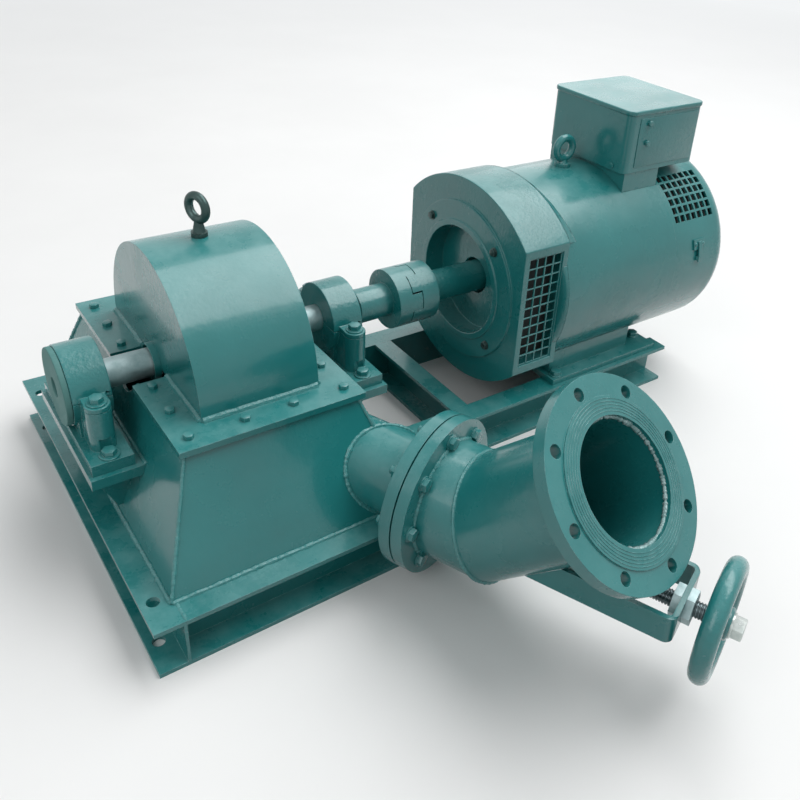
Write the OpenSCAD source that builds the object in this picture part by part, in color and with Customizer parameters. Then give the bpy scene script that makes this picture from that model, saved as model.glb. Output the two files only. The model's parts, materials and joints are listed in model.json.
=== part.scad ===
// Micro hydro generator set: inclined-jet turbine, generator and needle nozzle on a welded frame.
// Millimetres. X runs along the shaft to the generator, the nozzle is on the -Y side, Z is up.
// The origin is the middle of the foundation holes, on the floor.

/* [Base frame] */
// Height of every frame channel
frame_h = 100; // [90:1:120]
// Width of the channel flanges
frame_flange = 53; // [48:1:60]
// Half length of the turbine frame along the shaft
frame_x = 281; // [276:1:300]
// Half depth of the turbine frame
frame_y = 414; // [408:1:440]
// Radius of the foundation holes
anchor_r = 11; // [8:0.5:13]
// Half distance between the foundation holes along the shaft
anchor_x = 259; // [254:1:264]
// Half distance between the foundation holes in depth
anchor_y = 348; // [330:1:370]
// Outer half width of the generator rails
rail_y = 215; // [212:1:230]
// How far the generator rails run past the generator body
rail_over = 46; // [36:1:80]
// Left side of the rail cross-member
cross_at = 470; // [440:1:500]

/* [Turbine case] */
// Height of the shaft axis above the floor
shaft_z = 325; // [320:1:345]
// Half length of the case under its top plate
case_top_x = 160; // [150:1:164]
// Half depth of the case under its top plate
case_top_y = 276; // [266:1:279]
// Half length of the top plate
plate_x = 172; // [168:1:180]
// Half depth of the top plate
plate_y = 288; // [283:1:300]
// Thickness of the top plate
plate_t = 12; // [8:1:16]
// Radius of the hood
hood_r = 224; // [216:1:230]
// Half width of the hood
hood_x = 110; // [106:1:116]

/* [Bearings and shaft] */
// Radius of the turbine shaft
shaft_r = 27.5; // [24:0.5:28]
// Middle of the left bearing
bearing_left_x = -242; // [-246:1:-238]
// Middle of the right bearing
bearing_right_x = 258; // [254:1:262]
// Shaft height above the bearing foot
bearing_h = 100; // [94:1:106]
// Radius of the bearing cap
cap_r = 74; // [70:1:78]
// Radius of the claw coupling
coupling_r = 66; // [60:1:74]
// Plane where the two coupling halves meet
coupling_mid = 436; // [430:1:442]

/* [Generator] */
// Front face of the generator bracket
gen_x0 = 596; // [590:1:604]
// Depth of the bracket
bracket_len = 124; // [118:1:132]
// Half width across the bracket flats
bracket_w = 210; // [205:1:214]
// Radius of the bracket at its top
bracket_r = 240; // [238:1:250]
// Half height of the bracket flats
bracket_corner = 150; // [145:1:156]
// Radius of the generator body
body_r = 231; // [226:1:235]
// Length of the body behind the bracket
body_len = 349; // [340:1:360]
// Length of the rear cover
cover_len = 194; // [184:1:205]
// Length of the connection box
box_len = 243; // [225:1:250]
// Half depth of the connection box
box_y = 129; // [122:1:136]
// Height of the connection box with its lid
box_h = 145; // [130:1:160]

/* [Nozzle] */
// Height of the nozzle axis
nozzle_z = 172; // [168:1:178]
// Place of the nozzle axis on the front wall
nozzle_x = 195; // [188:1:200]
// Turn of the nozzle axis from square to the shaft
nozzle_turn = 22.7; // [20:0.1:25]
// Distance of the flange joint from the front wall
joint_at = 104; // [100:1:112]
// Distance of the elbow from the front wall
elbow_at = 221; // [216:1:232]
// Rise of the inlet pipe
inlet_rise = 42.6; // [40:0.1:45]
// Turn of the inlet pipe against the nozzle axis
inlet_turn = -7; // [-9:0.1:-5]
// Length of the inlet pipe from the elbow to its flange face
inlet_len = 314; // [300:1:330]
// Outer radius of the inlet pipe
inlet_r = 109.5; // [106:0.5:112]
// Bore radius of the inlet
inlet_bore = 101.5; // [98:0.5:103]
// Outer radius of the inlet flange
inlet_flange_r = 170; // [164:1:178]
// Bolt circle radius of the inlet flange
inlet_pcd_r = 147.5; // [144:0.5:150]
// Outer radius of the nozzle flanges
joint_r = 147; // [142:0.5:150]

/* [Needle gear] */
// Radius of the needle rod
rod_r = 12.5; // [10:0.5:14]
// Outer face of the yoke crosspiece along the nozzle axis
yoke_at = 578; // [572:1:586]
// Half width of the yoke
yoke_y = 70; // [66:1:76]
// Height of the yoke strap
yoke_h = 50; // [44:1:56]
// Outer radius of the handwheel
wheel_r = 105; // [98:1:112]
// Middle plane of the handwheel along the nozzle axis
wheel_at = 630; // [626:1:636]

/* [Hidden] */
$fn = 64;
paint = [0.20, 0.47, 0.47];
steel = [0.55, 0.56, 0.56];
dark = [0.10, 0.12, 0.13];
web_t = 5.3;
cross_w = 44;
body_gap = 8;
flange_t = 8.5;
running = 0.05;
clear = 6;
seat = 0.3;
wall_t = 6;
far = 2000;
// case walls rest on the frame flanges
case_bot_x = frame_x - frame_flange + 8;
case_bot_y = frame_y - frame_flange + 7;
case_z0 = frame_h;
case_z1 = shaft_z - plate_t;
function wall_x(z) = case_top_x + (case_bot_x - case_top_x) * (case_z1 - z) / (case_z1 - case_z0);
function wall_y(z) = case_top_y + (case_bot_y - case_top_y) * (case_z1 - z) / (case_z1 - case_z0);
hood_t = 5;
hood_lip = 14;
notch_y = 62;
gland_ring_r = 37;
gland_ring_t = 12;
// lifting eyes
eye_base_t = 12;
eye_sink = 4;
hood_eye_y = 15;
hood_eye_turn = -70;
// bearings
foot_t = 22;
bearing_half = 33;
foot_half_x = 36;
foot_half_y = 150;
column_y = 98;
column_r = 22;
ear_t = 10;
pedestal_x = 26;
pedestal_y = 60;
foot_bolt_y = 132;
spot_r = 18;
spot_h = 26;
shelf_t = 20;
shelf_z = shaft_z - bearing_h;
shelf_y = 160;
shelf_out = 42;
shelf_rib_y = 110;
shelf_rib_t = 10;
shelf_rib_low = 20;
cover_t = 11;
cover_step = 2;
cover_bore = 18;
// rotor
shaft_start = bearing_left_x - bearing_half + clear;
sleeve_gap = 21;
sleeve_at = bearing_right_x + bearing_half + sleeve_gap;
sleeve_r = 37;
claw_len = 26;
hub_left = 46;
hub_right = 54;
coupling_at = coupling_mid - hub_left;
coupling_end = coupling_mid + hub_right;
claw_start = coupling_mid - claw_len / 2;
claw_end = coupling_mid + claw_len / 2;
claw_gap = 2;
claw_count = 5;
claw_step = 360 / claw_count;
claw_play = 1.5;
claw_turn = 44;
claw_core = 41;
claw_inside = claw_core - 1;
// generator
body_x0 = gen_x0 + bracket_len;
body_x1 = body_x0 + body_len;
cover_x1 = body_x1 + cover_len;
rail_end = body_x1 + rail_over;
cover_round = 42;
arc_sag = bracket_r - bracket_corner;
arc_r = (bracket_w * bracket_w + arc_sag * arc_sag) / (2 * arc_sag);
window_x = 94;
window_z = 262;
grille_t = 4;
grille_cols = 4;
grille_rows = 11;
window_at = 15;
window_depth = 35;
grille_in = 3;
grille_bar = 2.5;
gen_shaft_r = 36;
boss_r = 186;
boss_h = 6;
spigot_r = 142;
spigot_h = 4;
recess_r = 127;
recess_depth = 40;
shaft_in = 20;
eye_at = 152;
cover_wall = 5;
vent_rows = 6;
vent_cols = 7;
vent_at = 10;
vent_pitch = 20;
vent_len = 15;
vent_w = 16;
vent_from = 30;
vent_turn = 5.4;
box_at = 221;
box_gap = 8;
box_round = 18;
box_wall = 4;
box_x0 = body_x0 + box_at;
box_z0 = shaft_z + body_r + box_gap;
lid_t = 11;
lid_over = 3;
neck_y = 126;
neck_in = 10;
neck_back = 4;
neck_drop = 70;
latch_at = 81;
latch_up = 73;
latch_drop = 47;
latch_w = 42;
latch_tip = 9;
latch_h = 9;
latch_sink = 20;
foot_x0 = body_x0 + 15;
foot_x1 = body_x1 + 12;
foot_mid_y = 166;
foot_half_w = 38;
foot_plate_t = 14;
foot_web_y = 158;
foot_web_t = 24;
foot_inset = 14;
foot_inset_back = 70;
// nozzle
nozzle_y = -wall_y(nozzle_z);
stub_r = 79.5;
stub_bore = 72;
joint_t = 22;
joint_gap = 1.5;
joint_pcd_r = 120;
joint_hole_r = 11;
gasket_r = 106;
room_gap = 8;
room_back = 34;
inlet_flange_t = 24;
inlet_hole_r = 11;
inlet_face_r = 133;
inlet_face_t = 3;
inlet_dir = [cos(inlet_rise) * cos(inlet_turn), cos(inlet_rise) * sin(inlet_turn), sin(inlet_rise)];
mitre = (inlet_dir + [1, 0, 0]) / norm(inlet_dir + [1, 0, 0]);
mitre_rise = asin(mitre[2]);
mitre_turn = atan2(mitre[1], mitre[0]);
gland_r = 30;
gland_len = 250;
gland_step = 9;
gland_back = 20;
gland_end = elbow_at + gland_len;
strap_at = 60;
strap_t = 9;
nut_r = 30;
nut_t = 13;
nut_neck_r = 19;
screw_r = 14;
screw_in = 66;
screw_from = yoke_at - screw_in;
rim_r = 17;
wheel_hub_r = 27;
wheel_hub_half = 20;
spoke_r = 9;

// A channel along +Y, its open side towards -X.
module channel(len, width, height = frame_h) {
    translate([0, len, 0])
        rotate([90, 0, 0])
            linear_extrude(len)
                polygon([[0, 0], [width, 0], [width, height], [0, height], [0, height - flange_t],
                         [width - web_t, height - flange_t], [width - web_t, flange_t], [0, flange_t]]);
}

// A cylinder along +X.
module rod_x(r, from, to) {
    translate([from, 0, 0])
        rotate([0, 90, 0])
            cylinder(r = r, h = to - from, $fn = r > 90 ? 256 : 64);
}

// The shaft axis as local X.
module on_shaft() {
    translate([0, 0, shaft_z])
        children();
}

// The nozzle axis as local X, starting at the front wall.
module on_nozzle() {
    translate([nozzle_x, nozzle_y, nozzle_z])
        rotate([0, 0, nozzle_turn - 90])
            children();
}

// The inlet pipe axis as local X, inside the nozzle's local frame.
module on_inlet() {
    translate([elbow_at, 0, 0])
        rotate([0, 0, inlet_turn])
            rotate([0, -inlet_rise, 0])
                children();
}

// Everything before the mitre plane, in the nozzle's local frame.
module before_mitre() {
    translate([elbow_at, 0, 0])
        rotate([0, 0, mitre_turn])
            rotate([0, -mitre_rise, 0])
                translate([-far, -far / 2, -far / 2])
                    cube([far, far, far]);
}

// Room round the nozzle flange and stub, cut from the frame corner.
module nozzle_room() {
    on_nozzle() {
        rod_x(joint_r + room_gap, joint_at - joint_t - room_back, joint_at + inlet_len);
        rod_x(stub_r + room_gap / 2, -far / 4, joint_at);
    }
}

// The anchor holes of one side, from the floor to the top flange.
module anchor_holes() {
    for (x = [-anchor_x, anchor_x], y = [-anchor_y, anchor_y])
        translate([x, y, -1])
            cylinder(r = anchor_r, h = frame_h + 2);
}

module frame_left() {
    color(paint)
        difference() {
            translate([-frame_x, -frame_y, 0])
                channel(2 * frame_y, frame_flange);
            anchor_holes();
        }
}

module frame_right() {
    color(paint)
        difference() {
            mirror([1, 0, 0])
                translate([-frame_x, -frame_y, 0])
                    channel(2 * frame_y, frame_flange);
            anchor_holes();
            nozzle_room();
        }
}

module frame_front() {
    inside = frame_x - frame_flange;
    color(paint)
        difference() {
            translate([inside, -frame_y, 0])
                rotate([0, 0, 90])
                    channel(2 * inside, frame_flange);
            nozzle_room();
        }
}

module frame_back() {
    inside = frame_x - frame_flange;
    color(paint)
        mirror([0, 1, 0])
            translate([inside, -frame_y, 0])
                rotate([0, 0, 90])
                    channel(2 * inside, frame_flange);
}

module rail_front() {
    color(paint)
        translate([rail_end, -rail_y, 0])
            rotate([0, 0, 90])
                channel(rail_end - frame_x, frame_flange);
}

module rail_back() {
    color(paint)
        mirror([0, 1, 0])
            translate([rail_end, -rail_y, 0])
                rotate([0, 0, 90])
                    channel(rail_end - frame_x, frame_flange);
}

module cross_front() {
    inside = rail_y - frame_flange;
    color(paint)
        translate([cross_at, -inside, 0])
            channel(2 * inside, cross_w);
}

module cross_end() {
    inside = rail_y - frame_flange;
    color(paint)
        translate([body_x1 - cross_w, -inside, 0])
            channel(2 * inside, cross_w, min(frame_h, shaft_z - body_r - body_gap));
}

// The case as a solid with sloping walls, its walls moved in by inset.
module case_solid(inset, extra) {
    intersection() {
        rotate([90, 0, 0])
            linear_extrude(far, center = true)
                polygon([[-case_bot_x + inset, case_z0 - extra], [case_bot_x - inset, case_z0 - extra],
                         [case_top_x - inset, case_z1 + extra], [-case_top_x + inset, case_z1 + extra]]);
        rotate([90, 0, 90])
            linear_extrude(far, center = true)
                polygon([[-case_bot_y + inset, case_z0 - extra], [case_bot_y - inset, case_z0 - extra],
                         [case_top_y - inset, case_z1 + extra], [-case_top_y + inset, case_z1 + extra]]);
    }
}

module case_box() {
    color(paint)
        difference() {
            case_solid(0, 0);
            case_solid(wall_t, 1);
            on_shaft()
                rod_x(shaft_r + 15, -far / 4, far / 4);
            on_nozzle()
                rod_x(stub_bore, -far / 5, 60);
        }
}

module case_plate() {
    color(paint)
        difference() {
            translate([-plate_x, -plate_y, shaft_z - plate_t])
                cube([2 * plate_x, 2 * plate_y, plate_t]);
            translate([-hood_x + hood_lip, -hood_r + hood_lip, shaft_z - plate_t - 1])
                cube([2 * (hood_x - hood_lip), 2 * (hood_r - hood_lip), plate_t + 2]);
            translate([-plate_x - 1, -notch_y, shaft_z - plate_t - 1])
                cube([2 * plate_x + 2, 2 * notch_y, plate_t + 2]);
        }
}

module hood() {
    color(paint)
        on_shaft()
            difference() {
                rod_x(hood_r, -hood_x, hood_x);
                rod_x(hood_r - hood_t, -hood_x + hood_t, hood_x - hood_t);
                rod_x(shaft_r + clear, -hood_x - 1, hood_x + 1);
                translate([-hood_x - 1, -hood_r - 1, -hood_r - 1])
                    cube([2 * hood_x + 2, 2 * hood_r + 2, hood_r + 1]);
            }
}

module gland_ring() {
    difference() {
        rod_x(gland_ring_r, hood_x, hood_x + gland_ring_t);
        rod_x(shaft_r + clear, hood_x - 1, hood_x + gland_ring_t + 1);
    }
}

module gland_left() {
    color(paint)
        on_shaft()
            mirror([1, 0, 0])
                gland_ring();
}

module gland_right() {
    color(paint)
        on_shaft()
            gland_ring();
}

// A lifting eye standing on z = 0, its ring in the XZ plane.
module eye(base_r, neck_h, ring_r, bar_r) {
    cylinder(r = base_r, h = eye_base_t);
    cylinder(r1 = base_r - 1, r2 = bar_r - 1, h = neck_h);
    translate([0, 0, neck_h + ring_r])
        rotate([90, 0, 0])
            rotate_extrude()
                translate([ring_r, 0])
                    circle(r = bar_r);
}

module hood_eye() {
    color(dark)
        difference() {
            translate([0, hood_eye_y, shaft_z + hood_r - eye_sink])
                rotate([0, 0, hood_eye_turn])
                    eye(15, 36, 22, 8);
            on_shaft()
                rod_x(hood_r + seat, -hood_x, hood_x);
        }
}

// The bracket shelf on the right wall for a bearing at x.
module shelf(x) {
    z0 = shelf_z - shelf_t;
    low = case_z0 + shelf_rib_low;
    rotate([90, 0, 0])
        linear_extrude(2 * shelf_y, center = true)
            polygon([[wall_x(shelf_z), shelf_z], [x + shelf_out, shelf_z], [x + shelf_out, z0], [wall_x(z0), z0]]);
    for (side = [-1, 1])
        translate([0, side * shelf_rib_y, 0])
            rotate([90, 0, 0])
                linear_extrude(shelf_rib_t, center = true)
                    polygon([[wall_x(z0), z0], [x + shelf_out - 6, z0], [wall_x(low) + 8, low], [wall_x(low), low]]);
}

module shelf_left() {
    color(paint)
        mirror([1, 0, 0])
            shelf(-bearing_left_x);
}

module shelf_right() {
    color(paint)
        shelf(bearing_right_x);
}

// The two bolt columns of a bearing and the web between them.
module columns(from, to) {
    translate([1 - column_r, -column_y, from])
        cube([2 * column_r - 2, 2 * column_y, to - from]);
    for (side = [-1, 1])
        translate([0, side * column_y, from])
            cylinder(r = column_r, h = to - from);
}

// A split pillow block's lower half, its axis along local X.
module bearing_base() {
    foot_top = foot_t - bearing_h;
    color(paint)
        difference() {
            union() {
                translate([-foot_half_x, -foot_half_y, -bearing_h])
                    cube([2 * foot_half_x, 2 * foot_half_y, foot_t]);
                difference() {
                    rod_x(cap_r, -bearing_half, bearing_half);
                    translate([-far / 2, -far / 2, 0])
                        cube([far, far, far]);
                }
                translate([-pedestal_x, -pedestal_y, foot_top - 1])
                    cube([2 * pedestal_x, 2 * pedestal_y, bearing_h - foot_t]);
                columns(foot_top - 1, 0);
            }
            rod_x(shaft_r + running, -far, far);
            for (side = [-1, 1])
                translate([0, side * foot_bolt_y, foot_top])
                    cylinder(r = spot_r, h = spot_h);
        }
}

module bearing_cap() {
    color(paint)
        difference() {
            union() {
                rod_x(cap_r, -bearing_half, bearing_half);
                columns(0, ear_t);
            }
            rod_x(shaft_r + running, -far, far);
            translate([-far / 2, -far / 2, -far])
                cube([far, far, far]);
        }
}

module bearing_left_base() {
    on_shaft()
        translate([bearing_left_x, 0, 0])
            bearing_base();
}

module bearing_left_cap() {
    on_shaft()
        translate([bearing_left_x, 0, 0])
            bearing_cap();
}

module bearing_right_base() {
    on_shaft()
        translate([bearing_right_x, 0, 0])
            bearing_base();
}

module bearing_right_cap() {
    on_shaft()
        translate([bearing_right_x, 0, 0])
            bearing_cap();
}

module bearing_left_cover() {
    outer = bearing_left_x - bearing_half;
    color(paint)
        on_shaft()
            difference() {
                rod_x(cap_r - cover_step, outer - cover_t, outer);
                rod_x(cover_bore, outer - cover_t - 1, outer + 1);
            }
}

module turbine_shaft() {
    color(steel)
        on_shaft()
            rod_x(shaft_r, shaft_start, claw_start);
}

// Gaps between the claws of one coupling half, as wedges round the axis.
module claw_gaps(from, to, turn) {
    span = claw_step / 2 + claw_play;
    out = 2 * coupling_r;
    for (k = [0 : claw_count - 1])
        rotate([turn + k * claw_step, 0, 0])
            translate([from, 0, 0])
                rotate([90, 0, 90])
                    linear_extrude(to - from)
                        polygon([[claw_inside, 0], [out, 0], [out * cos(span), out * sin(span)],
                                 [claw_inside * cos(span), claw_inside * sin(span)]]);
}

module coupling_turbine() {
    tip = claw_end - claw_gap;
    color(paint)
        on_shaft()
            difference() {
                union() {
                    rod_x(coupling_r, coupling_at, tip);
                    rod_x(sleeve_r, sleeve_at, coupling_at + 1);
                }
                rod_x(shaft_r + running, sleeve_at - 1, tip + 1);
                rod_x(claw_core, claw_start, tip + 1);
                claw_gaps(claw_start, tip + 1, claw_turn);
            }
}

module coupling_generator() {
    tip = claw_start + claw_gap;
    color(paint)
        on_shaft()
            difference() {
                rod_x(coupling_r, tip, coupling_end);
                rod_x(gen_shaft_r + running, tip - 1, coupling_end + 1);
                rod_x(claw_core, tip - 1, claw_end);
                claw_gaps(tip - 1, claw_end, claw_turn + claw_step / 2 - claw_play);
            }
}

module generator_shaft() {
    color(paint)
        on_shaft()
            rod_x(gen_shaft_r, claw_end, gen_x0 + recess_depth + shaft_in);
}

// The bracket's outline in the YZ plane, flats at the sides and flat arcs above and below.
module bracket_outline() {
    intersection() {
        square([2 * bracket_w, 2 * bracket_r], center = true);
        translate([0, bracket_r - arc_r])
            circle(r = arc_r);
        translate([0, arc_r - bracket_r])
            circle(r = arc_r);
    }
}

module generator_bracket() {
    color(paint)
        on_shaft()
            difference() {
                union() {
                    translate([gen_x0, 0, 0])
                        rotate([90, 0, 90])
                            linear_extrude(bracket_len)
                                bracket_outline();
                    rod_x(boss_r, gen_x0 - boss_h, gen_x0 + 1);
                    rod_x(spigot_r, gen_x0 - boss_h - spigot_h, gen_x0 + 1);
                }
                rod_x(recess_r, gen_x0 - recess_depth, gen_x0 + recess_depth);
                rod_x(gen_shaft_r + clear, gen_x0, gen_x0 + recess_depth + shaft_in + clear);
                for (side = [-1, 1])
                    translate([gen_x0 + window_at, side * bracket_w - window_depth, -window_z / 2])
                        cube([window_x, 2 * window_depth, window_z]);
            }
}

// A grille panel in the bracket's side window.
module bracket_grille() {
    col = window_x / grille_cols;
    row = window_z / grille_rows;
    on_shaft()
        translate([gen_x0 + window_at, -bracket_w + grille_in, -window_z / 2])
            difference() {
                cube([window_x, grille_t, window_z]);
                for (i = [0 : grille_cols - 1], k = [0 : grille_rows - 1])
                    translate([i * col + grille_bar, -1, k * row + grille_bar])
                        cube([col - 2 * grille_bar, grille_t + 2, row - 2 * grille_bar]);
            }
}

module bracket_grille_front() {
    color(paint)
        bracket_grille();
}

module bracket_grille_back() {
    color(paint)
        mirror([0, 1, 0])
            bracket_grille();
}

module generator_body() {
    color(paint)
        on_shaft()
            rod_x(body_r, body_x0, body_x1);
}

// Half section of the rear cover, radius along x and length along y.
module cover_section(r, len, round) {
    square([r - round, len]);
    square([r, len - round]);
    translate([r - round, len - round])
        circle(r = round);
}

module rear_cover() {
    color(paint)
        on_shaft()
            difference() {
                translate([body_x1, 0, 0])
                    rotate([0, 90, 0])
                        rotate_extrude()
                            intersection() {
                                cover_section(body_r, cover_len, cover_round);
                                square([body_r + 1, cover_len]);
                            }
                rod_x(body_r - cover_wall, body_x1 - 1, cover_x1 - cover_round);
                for (side = [-1, 1], k = [0 : vent_rows - 1], i = [0 : vent_cols - 1])
                    rotate([side * (vent_from + k * vent_turn), 0, 0])
                        translate([body_x1 + vent_at + i * vent_pitch, -vent_w / 2, body_r - 2 * vent_w])
                            cube([vent_len, vent_w, 3 * vent_w]);
            }
}

module cover_latch() {
    color(paint)
        on_shaft()
            difference() {
                translate([body_x1 + latch_at, latch_sink - body_r, latch_up])
                    rotate([90, 0, 0])
                        linear_extrude(latch_sink + latch_h)
                            polygon([[-latch_w / 2, 0], [-latch_tip / 2, -latch_drop], [latch_tip / 2, -latch_drop],
                                     [latch_w / 2, 0]]);
                rod_x(body_r + seat, body_x1, cover_x1);
            }
}

module generator_feet() {
    color(paint)
        difference() {
            for (side = [-1, 1])
                union() {
                    translate([foot_x0, side * foot_mid_y - foot_half_w, frame_h])
                        cube([foot_x1 - foot_x0, 2 * foot_half_w, foot_plate_t]);
                    translate([foot_x0 + foot_inset, side * foot_web_y - foot_web_t / 2, frame_h + foot_plate_t / 2])
                        cube([foot_x1 - foot_x0 - foot_inset - foot_inset_back, foot_web_t,
                              shaft_z - body_r / 2 - frame_h - foot_plate_t / 2]);
                }
            on_shaft()
                rod_x(body_r + seat, gen_x0, cover_x1);
        }
}

module connection_neck() {
    color(paint)
        difference() {
            translate([box_x0 + neck_in, -neck_y, shaft_z + body_r - neck_drop])
                cube([body_x1 - neck_back - box_x0 - neck_in, 2 * neck_y, box_gap + neck_drop]);
            on_shaft()
                rod_x(body_r + seat, body_x0, cover_x1);
        }
}

// A block over the connection box's plan, grown by more, with round upright edges.
module box_block(more, from, to) {
    turn = box_round + more;
    translate([box_x0 - more, -box_y - more, box_z0 + from])
        linear_extrude(to - from)
            translate([turn, turn])
                offset(r = turn)
                    square([box_len - 2 * box_round, 2 * (box_y - box_round)]);
}

module connection_box() {
    color(paint)
        difference() {
            box_block(0, 0, box_h - lid_t);
            box_block(-box_wall, box_wall, box_h);
        }
}

module connection_lid() {
    color(paint)
        box_block(lid_over, box_h - lid_t, box_h);
}

module generator_eye() {
    color(paint)
        difference() {
            translate([body_x0 + eye_at, 0, shaft_z + body_r - eye_sink])
                eye(19, 22, 24, 9);
            on_shaft()
                rod_x(body_r + seat, body_x0, body_x1);
        }
}

// Eight holes round local X.
module ring_holes(radius, hole, from, to, phase) {
    for (k = [0 : 7])
        rotate([phase + 45 * k, 0, 0])
            translate([0, 0, radius])
                rod_x(hole, from, to);
}

module nozzle_stub() {
    inner = joint_at - joint_gap - joint_t;
    color(paint)
        difference() {
            on_nozzle()
                difference() {
                    union() {
                        rod_x(stub_r, -far / 5, inner);
                        rod_x(joint_r, inner, joint_at - joint_gap);
                    }
                    rod_x(stub_bore, -far / 5 - 1, joint_at);
                    ring_holes(joint_pcd_r, joint_hole_r, inner - 1, joint_at, 0);
                }
            case_solid(0, 0);
            translate([-case_bot_x, -case_bot_y, 0])
                cube([2 * case_bot_x, 2 * case_bot_y, case_z0 + 1]);
        }
}

module nozzle_gasket() {
    color(dark)
        on_nozzle()
            difference() {
                rod_x(gasket_r, joint_at - joint_gap, joint_at + joint_gap);
                rod_x(stub_bore, joint_at - 2 * joint_gap, joint_at + 2 * joint_gap);
            }
}

module nozzle_neck() {
    face = joint_at + joint_gap;
    color(paint)
        on_nozzle()
            difference() {
                union() {
                    rod_x(joint_r, face, face + joint_t);
                    intersection() {
                        rod_x(inlet_r, face + joint_t, elbow_at + inlet_r);
                        before_mitre();
                    }
                }
                rod_x(stub_bore, face - 1, face + joint_t + 1);
                rod_x(inlet_bore, face + joint_t, elbow_at + inlet_r + 1);
                ring_holes(joint_pcd_r, joint_hole_r, face - 1, face + joint_t + 1, 0);
            }
}

module inlet_pipe() {
    flange_face = inlet_len - inlet_face_t;
    color(paint)
        on_nozzle()
            difference() {
                on_inlet()
                    difference() {
                        union() {
                            rod_x(inlet_r, -inlet_r, flange_face);
                            rod_x(inlet_flange_r, flange_face - inlet_flange_t, flange_face);
                            rod_x(inlet_face_r, flange_face, inlet_len);
                        }
                        rod_x(inlet_bore, -inlet_r - 1, inlet_len + 1);
                        ring_holes(inlet_pcd_r, inlet_hole_r, inlet_len - 2 * inlet_flange_t, inlet_len + 1, 0);
                    }
                before_mitre();
                rod_x(rod_r + clear, elbow_at, gland_end);
            }
}

module needle_gland() {
    color(paint)
        on_nozzle()
            difference() {
                union() {
                    rod_x(gland_r, elbow_at + strap_at, gland_end);
                    rod_x(gland_r + gland_step, gland_end - gland_back - joint_t, gland_end - gland_back);
                }
                rod_x(rod_r + running, elbow_at, gland_end + 1);
                on_inlet()
                    rod_x(inlet_r + seat, -inlet_r, inlet_len);
            }
}

module yoke() {
    color(paint)
        on_nozzle()
            difference() {
                translate([elbow_at + strap_at, -yoke_y, -yoke_h / 2])
                    cube([yoke_at - elbow_at - strap_at, 2 * yoke_y, yoke_h]);
                translate([elbow_at, -yoke_y + strap_t, -yoke_h])
                    cube([yoke_at - elbow_at - strap_t, 2 * (yoke_y - strap_t), 2 * yoke_h]);
                rod_x(nut_neck_r + running, yoke_at - 2 * strap_t, yoke_at + strap_t);
                on_inlet()
                    rod_x(inlet_r + seat, -2 * inlet_r, inlet_len);
            }
}

// A hexagon round local X, its flats above and below.
module hexagon(r, from, to) {
    translate([from, 0, 0])
        rotate([90, 0, 90])
            linear_extrude(to - from)
                polygon([for (k = [0 : 5]) [r * cos(60 * k), r * sin(60 * k)]]);
}

module yoke_nut() {
    inner = yoke_at - strap_t;
    color(steel)
        on_nozzle()
            difference() {
                union() {
                    hexagon(nut_r, inner - nut_t, inner);
                    rod_x(nut_neck_r, inner - 1, yoke_at + 1);
                    hexagon(nut_r, yoke_at, yoke_at + nut_t);
                }
                rod_x(screw_r + running, inner - nut_t - 1, yoke_at + nut_t + 1);
            }
}

module needle_rod() {
    color(steel)
        on_nozzle()
            rod_x(rod_r, elbow_at - strap_at, screw_from - seat);
}

module handwheel() {
    color(paint)
        on_nozzle() {
            rod_x(screw_r, screw_from, wheel_at + wheel_hub_half);
            translate([wheel_at, 0, 0])
                rotate([0, 90, 0])
                    rotate_extrude()
                        translate([wheel_r - rim_r, 0])
                            circle(r = rim_r);
            difference() {
                rod_x(wheel_hub_r, wheel_at - wheel_hub_half, wheel_at + wheel_hub_half);
                rod_x(screw_r, wheel_at - wheel_hub_half - 1, wheel_at + wheel_hub_half + 1);
            }
            for (k = [0 : 3])
                rotate([45 + 90 * k, 0, 0])
                    translate([wheel_at, 0, screw_r])
                        cylinder(r = spoke_r, h = wheel_r - rim_r - screw_r);
        }
}

frame_left();
frame_right();
frame_front();
frame_back();
rail_front();
rail_back();
cross_front();
cross_end();
case_box();
case_plate();
hood();
gland_left();
gland_right();
hood_eye();
shelf_left();
shelf_right();
bearing_left_base();
bearing_left_cap();
bearing_left_cover();
bearing_right_base();
bearing_right_cap();
turbine_shaft();
coupling_turbine();
coupling_generator();
generator_shaft();
generator_bracket();
bracket_grille_front();
bracket_grille_back();
generator_body();
rear_cover();
cover_latch();
generator_feet();
connection_neck();
connection_box();
connection_lid();
generator_eye();
nozzle_stub();
nozzle_gasket();
nozzle_neck();
inlet_pipe();
needle_gland();
yoke();
yoke_nut();
needle_rod();
handwheel();
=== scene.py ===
"""Looks of a micro hydro generator set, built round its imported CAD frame."""
import json
import logging
import math
from dataclasses import dataclass
from enum import Enum
from typing import Sequence

import bmesh
import bpy
from mathutils import Matrix, Vector, noise


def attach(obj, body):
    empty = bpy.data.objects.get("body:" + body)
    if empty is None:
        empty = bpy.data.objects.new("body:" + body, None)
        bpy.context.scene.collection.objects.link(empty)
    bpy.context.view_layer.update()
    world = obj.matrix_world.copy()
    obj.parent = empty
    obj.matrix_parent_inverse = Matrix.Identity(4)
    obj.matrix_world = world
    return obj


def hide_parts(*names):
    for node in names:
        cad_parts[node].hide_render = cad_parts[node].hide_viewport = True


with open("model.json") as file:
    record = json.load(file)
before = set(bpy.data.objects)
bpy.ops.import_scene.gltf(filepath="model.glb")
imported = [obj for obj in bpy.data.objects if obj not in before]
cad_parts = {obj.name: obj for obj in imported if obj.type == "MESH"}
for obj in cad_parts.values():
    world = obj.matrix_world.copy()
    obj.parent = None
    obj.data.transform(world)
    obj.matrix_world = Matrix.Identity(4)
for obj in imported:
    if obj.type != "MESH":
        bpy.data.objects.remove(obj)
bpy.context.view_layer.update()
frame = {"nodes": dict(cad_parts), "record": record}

Pair = tuple[float, float]
Triple = tuple[float, float, float]
Profile = Sequence[Pair]
Socket = bpy.types.NodeSocket
Material = bpy.types.Material

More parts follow.
